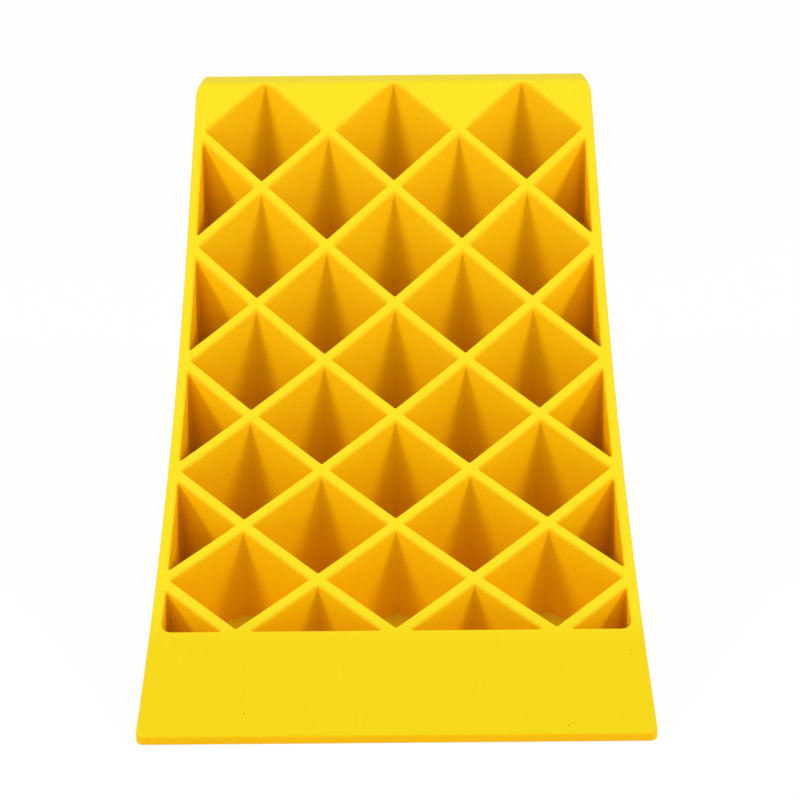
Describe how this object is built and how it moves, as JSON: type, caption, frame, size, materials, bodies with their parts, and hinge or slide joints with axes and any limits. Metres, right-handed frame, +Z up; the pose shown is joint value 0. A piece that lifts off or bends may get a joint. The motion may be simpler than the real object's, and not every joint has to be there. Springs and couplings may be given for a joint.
{
  "type": "wheel chock",
  "caption": "Hollow moulded wheel chock with a concave ramp of open diamond cells, a plain toe apron, a plain crest and a flat base.",
  "frame": {"origin": "middle of the underside, on the ground", "axes": "+Z up; the ramp faces -Y, so a tyre rolls onto it towards +Y; +X is to the right of someone who faces the ramp"},
  "size_m": [0.127, 0.2, 0.127],
  "materials": {
    "yellow_plastic": "satin, as moulded"
  },
  "bodies": {
    "root": {"toe_apron": "yellow_plastic", "apron_wall": "yellow_plastic", "floor_plate": "yellow_plastic", "side_wall_left": "yellow_plastic", "side_wall_right": "yellow_plastic", "back_wall": "yellow_plastic", "top_bridge": "yellow_plastic", "toe_rib_1": "yellow_plastic", "toe_rib_2": "yellow_plastic", "toe_rib_3": "yellow_plastic", "back_web_1": "yellow_plastic", "back_web_2": "yellow_plastic", "right_rib_1": "yellow_plastic", "right_rib_2": "yellow_plastic", "right_rib_3": "yellow_plastic", "right_rib_4": "yellow_plastic", "right_rib_5": "yellow_plastic", "right_rib_6": "yellow_plastic", "right_rib_7": "yellow_plastic", "right_rib_8": "yellow_plastic", "left_rib_1": "yellow_plastic", "left_rib_2": "yellow_plastic", "left_rib_3": "yellow_plastic", "left_rib_4": "yellow_plastic", "left_rib_5": "yellow_plastic", "left_rib_6": "yellow_plastic", "left_rib_7": "yellow_plastic", "left_rib_8": "yellow_plastic"}
  },
  "joints": []
}
